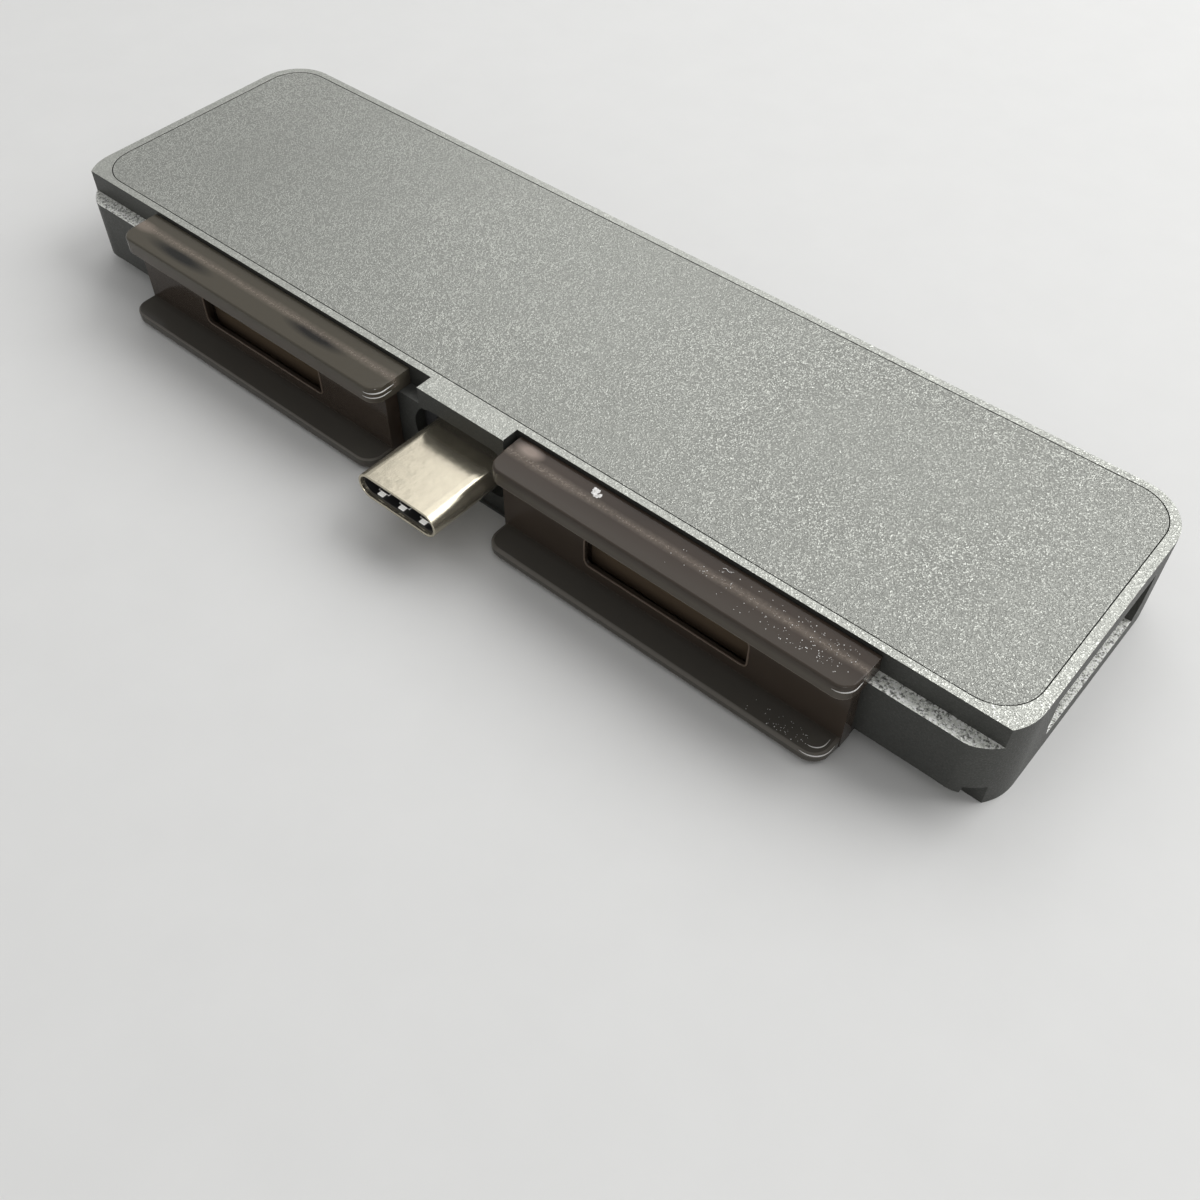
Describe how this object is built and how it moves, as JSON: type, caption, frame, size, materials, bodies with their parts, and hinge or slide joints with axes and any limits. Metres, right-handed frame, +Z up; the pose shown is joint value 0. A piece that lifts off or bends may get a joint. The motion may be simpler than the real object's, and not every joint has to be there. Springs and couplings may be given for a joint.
{
  "type": "usb-c tablet hub",
  "caption": "Slim metal hub that clips on a tablet's edge, with a short plug between soft clips and sockets at its ends and back.",
  "frame": {"origin": "centre of the housing's bottom face", "axes": "+X along the length, +Z up through the top panel, and the plug points to -Y"},
  "size_m": [0.0964, 0.0347, 0.0087],
  "materials": {
    "grey_metal": "bead blasted and anodised",
    "grey_panel": "bead blasted and anodised",
    "tape": "adhesive foam",
    "clip_soft": "smoky and translucent",
    "plug_metal": "polished nickel",
    "black_moulding": "moulded",
    "gold": "gold plated",
    "spring_metal": "bright",
    "board": "lacquered board",
    "chip_black": "moulded",
    "heat_pad": "soft",
    "coil_grey": "ferrite",
    "capacitor_tan": "ceramic",
    "socket_metal": "nickel plated",
    "white_moulding": "moulded",
    "light_pipe": "clear"
  },
  "bodies": {
    "root": {"housing": "grey_metal", "top_panel": "grey_panel", "panel_tape": "tape", "left_clip": "clip_soft", "right_clip": "clip_soft", "plug_shell": "plug_metal", "plug_insulator": "black_moulding", "plug_contacts": "gold", "plug_springs": "spring_metal", "plug_boot": "black_moulding", "main_board": "board", "hub_chip": "chip_black", "heat_pad": "heat_pad", "video_chip": "chip_black", "power_chip": "chip_black", "audio_chip": "chip_black", "crystal": "spring_metal", "coils": "coil_grey", "capacitors": "capacitor_tan", "board_screws": "spring_metal", "video_shell": "socket_metal", "video_insulator": "black_moulding", "video_contacts": "gold", "data_shell": "socket_metal", "data_insulator": "white_moulding", "data_contacts": "gold", "power_shell": "socket_metal", "power_tongue": "black_moulding", "audio_socket": "black_moulding", "audio_spring": "gold", "card_shell": "socket_metal", "card_contacts": "gold", "status_light": "light_pipe"}
  },
  "joints": []
}
